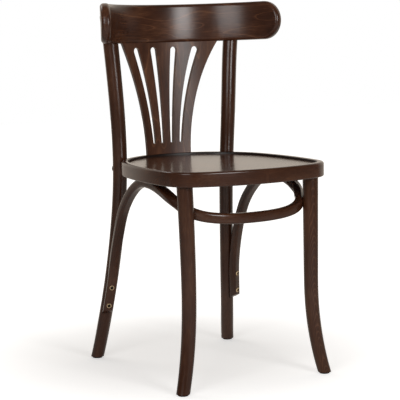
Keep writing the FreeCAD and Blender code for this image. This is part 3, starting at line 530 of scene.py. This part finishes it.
# The glow is weaker near the chair: this paints a grey shadow pool on top of the floor's real shadow.
fade = add(paper, "ShaderNodeMapRange",
           {"Value": reach, "From Min": SHADOW_POOL_RADIUS[0], "From Max": SHADOW_POOL_RADIUS[1], "To Min": SHADOW_POOL_GLOW},
           interpolation_type="SMOOTHSTEP").outputs["Result"]
outward = add(paper, "ShaderNodeVectorMath", {0: spot}, operation="NORMALIZE").outputs["Vector"]
rays = add(paper, "ShaderNodeLightPath").outputs
reflected = add(paper, "ShaderNodeMath",
                {0: rays["Is Glossy Ray"], 1: backdrop_light(paper, outward, 0.0, FLOOR_WHITE)},
                operation="MULTIPLY").outputs[0]
direct = add(paper, "ShaderNodeMath", {0: rays["Is Camera Ray"], 1: rays["Is Transmission Ray"]},
             operation="MAXIMUM").outputs[0]
seen = add(paper, "ShaderNodeMath", {0: direct, 1: reflected}, operation="MAXIMUM").outputs[0]
strength = add(paper, "ShaderNodeMath", {0: fade, 1: seen}, operation="MULTIPLY").outputs[0]
tint = add(paper, "ShaderNodeValToRGB", {"Fac": rays["Is Glossy Ray"]},
           [(0.0, PLAIN_WHITE), (1.0, WARM_WHITE)]).outputs["Color"]
glow = add(paper, "ShaderNodeEmission", {"Strength": strength, "Color": tint}).outputs["Emission"]
paint = add(paper, "ShaderNodeBsdfDiffuse", {"Color": linear(FLOOR_GREY)}).outputs["BSDF"]
both = add(paper, "ShaderNodeAddShader", {0: paint, 1: glow}).outputs["Shader"]
add(paper, "ShaderNodeOutputMaterial", {"Surface": both})
floor.data.materials.append(paper)
print("floor nodes:", len(paper.node_tree.nodes))

# %% [markdown]
# The room
#
# The world stands for everything that the chair and the camera see past the floor. One strength for all
# would give either a grey picture or flat light. So the camera sees plain white all round, and every other
# ray sees the dim room with the warm white backdrop in it.

# %% World
world = bpy.data.worlds.new("studio")
bpy.context.scene.world = world
world.use_nodes = True
world.node_tree.nodes.clear()
around = add(world, "ShaderNodeTexCoord").outputs["Generated"]
rays = add(world, "ShaderNodeLightPath").outputs
direct = add(world, "ShaderNodeMath", {0: rays["Is Camera Ray"], 1: rays["Is Transmission Ray"]},
             operation="MAXIMUM").outputs[0]
room = backdrop_light(world, around, ROOM_DIM, BACKDROP_WHITE)
strength = add(world, "ShaderNodeMath", {0: room, 1: direct}, operation="MAXIMUM").outputs[0]
tint = add(world, "ShaderNodeValToRGB", {"Fac": direct},
           [(0.0, WARM_WHITE), (1.0, PLAIN_WHITE)]).outputs["Color"]
sky = add(world, "ShaderNodeBackground", {"Strength": strength, "Color": tint}).outputs["Background"]
add(world, "ShaderNodeOutputWorld", {"Surface": sky})
print("world nodes:", len(world.node_tree.nodes))

# %% [markdown]
# Soft boxes
#
# In front hang two tall soft boxes with a gap between them, which draw the paired bright lines on the round
# rods and the two broad bands on the crest rail. A sun or a point lamp would leave hard sparks there
# instead. A third box hangs high behind and lights the top edges.

# %% Soft boxes
def soft_box(name, azimuth, distance, width, low, high, power):
    """An upright lit rectangle that stands round the chair and faces it; azimuth 0 is in front."""
    data = bpy.data.lights.new(name, "AREA")
    data.shape = "RECTANGLE"
    data.size = width
    data.size_y = high - low
    data.energy = power
    box = bpy.data.objects.new(name, data)
    bpy.context.scene.collection.objects.link(box)
    turn = math.radians(azimuth)
    box.location = (math.sin(turn) * distance, -math.cos(turn) * distance, (low + high) / 2)
    box.rotation_euler = (math.radians(90), 0, turn)
    print(name, "at", [round(value, 2) for value in box.location])


soft_box("main_box", azimuth=5, distance=2.6, width=0.9, low=0.70, high=1.8, power=29)
soft_box("side_box", azimuth=-53, distance=2.6, width=1.3, low=0.80, high=2.3, power=25)
soft_box("back_box", azimuth=205, distance=2.4, width=1.4, low=2.2, high=3.4, power=16)

# %% [markdown]
# Camera
#
# The place, turn and focal length come from a camera fitted to pairs of points that mirror each other
# across the chair's middle. Aiming a camera by eye would be quicker, but the legs would not line up. The
# small shift puts the optical centre where the fit found it.

# %% Camera
PHOTO_SIZE = 400
SENSOR = 36
FOCAL_PIXELS = 1488.21
OPTICAL_CENTRE = (199.573, 197.999)
AZIMUTH = math.radians(-29.603)
ELEVATION = math.radians(7.212)
ROLL = math.radians(-0.95)
CAMERA_PLACE = Vector((-1631.7, -2830.6, 794.9)) * MM
right = Vector((math.cos(AZIMUTH), math.sin(AZIMUTH), 0))
back = Vector((math.sin(AZIMUTH) * math.cos(ELEVATION), -math.cos(AZIMUTH) * math.cos(ELEVATION),
               math.sin(ELEVATION)))
up = back.cross(right)
rolled_right = right * math.cos(ROLL) + up * math.sin(ROLL)
rolled_up = up * math.cos(ROLL) - right * math.sin(ROLL)
lens = bpy.data.cameras.new("photo_camera")
lens.sensor_width = SENSOR
lens.lens = SENSOR * FOCAL_PIXELS / PHOTO_SIZE
lens.shift_x = (PHOTO_SIZE / 2 - OPTICAL_CENTRE[0]) / PHOTO_SIZE
lens.shift_y = (OPTICAL_CENTRE[1] - PHOTO_SIZE / 2) / PHOTO_SIZE
camera = bpy.data.objects.new("photo_camera", lens)
bpy.context.scene.collection.objects.link(camera)
rotation = Matrix((rolled_right, rolled_up, back)).transposed()
camera.matrix_world = Matrix.Translation(CAMERA_PLACE) @ rotation.to_4x4()
bpy.context.scene.camera = camera
bpy.context.scene.view_settings.view_transform = "Standard"
print("focal length in mm:", round(lens.lens, 1))
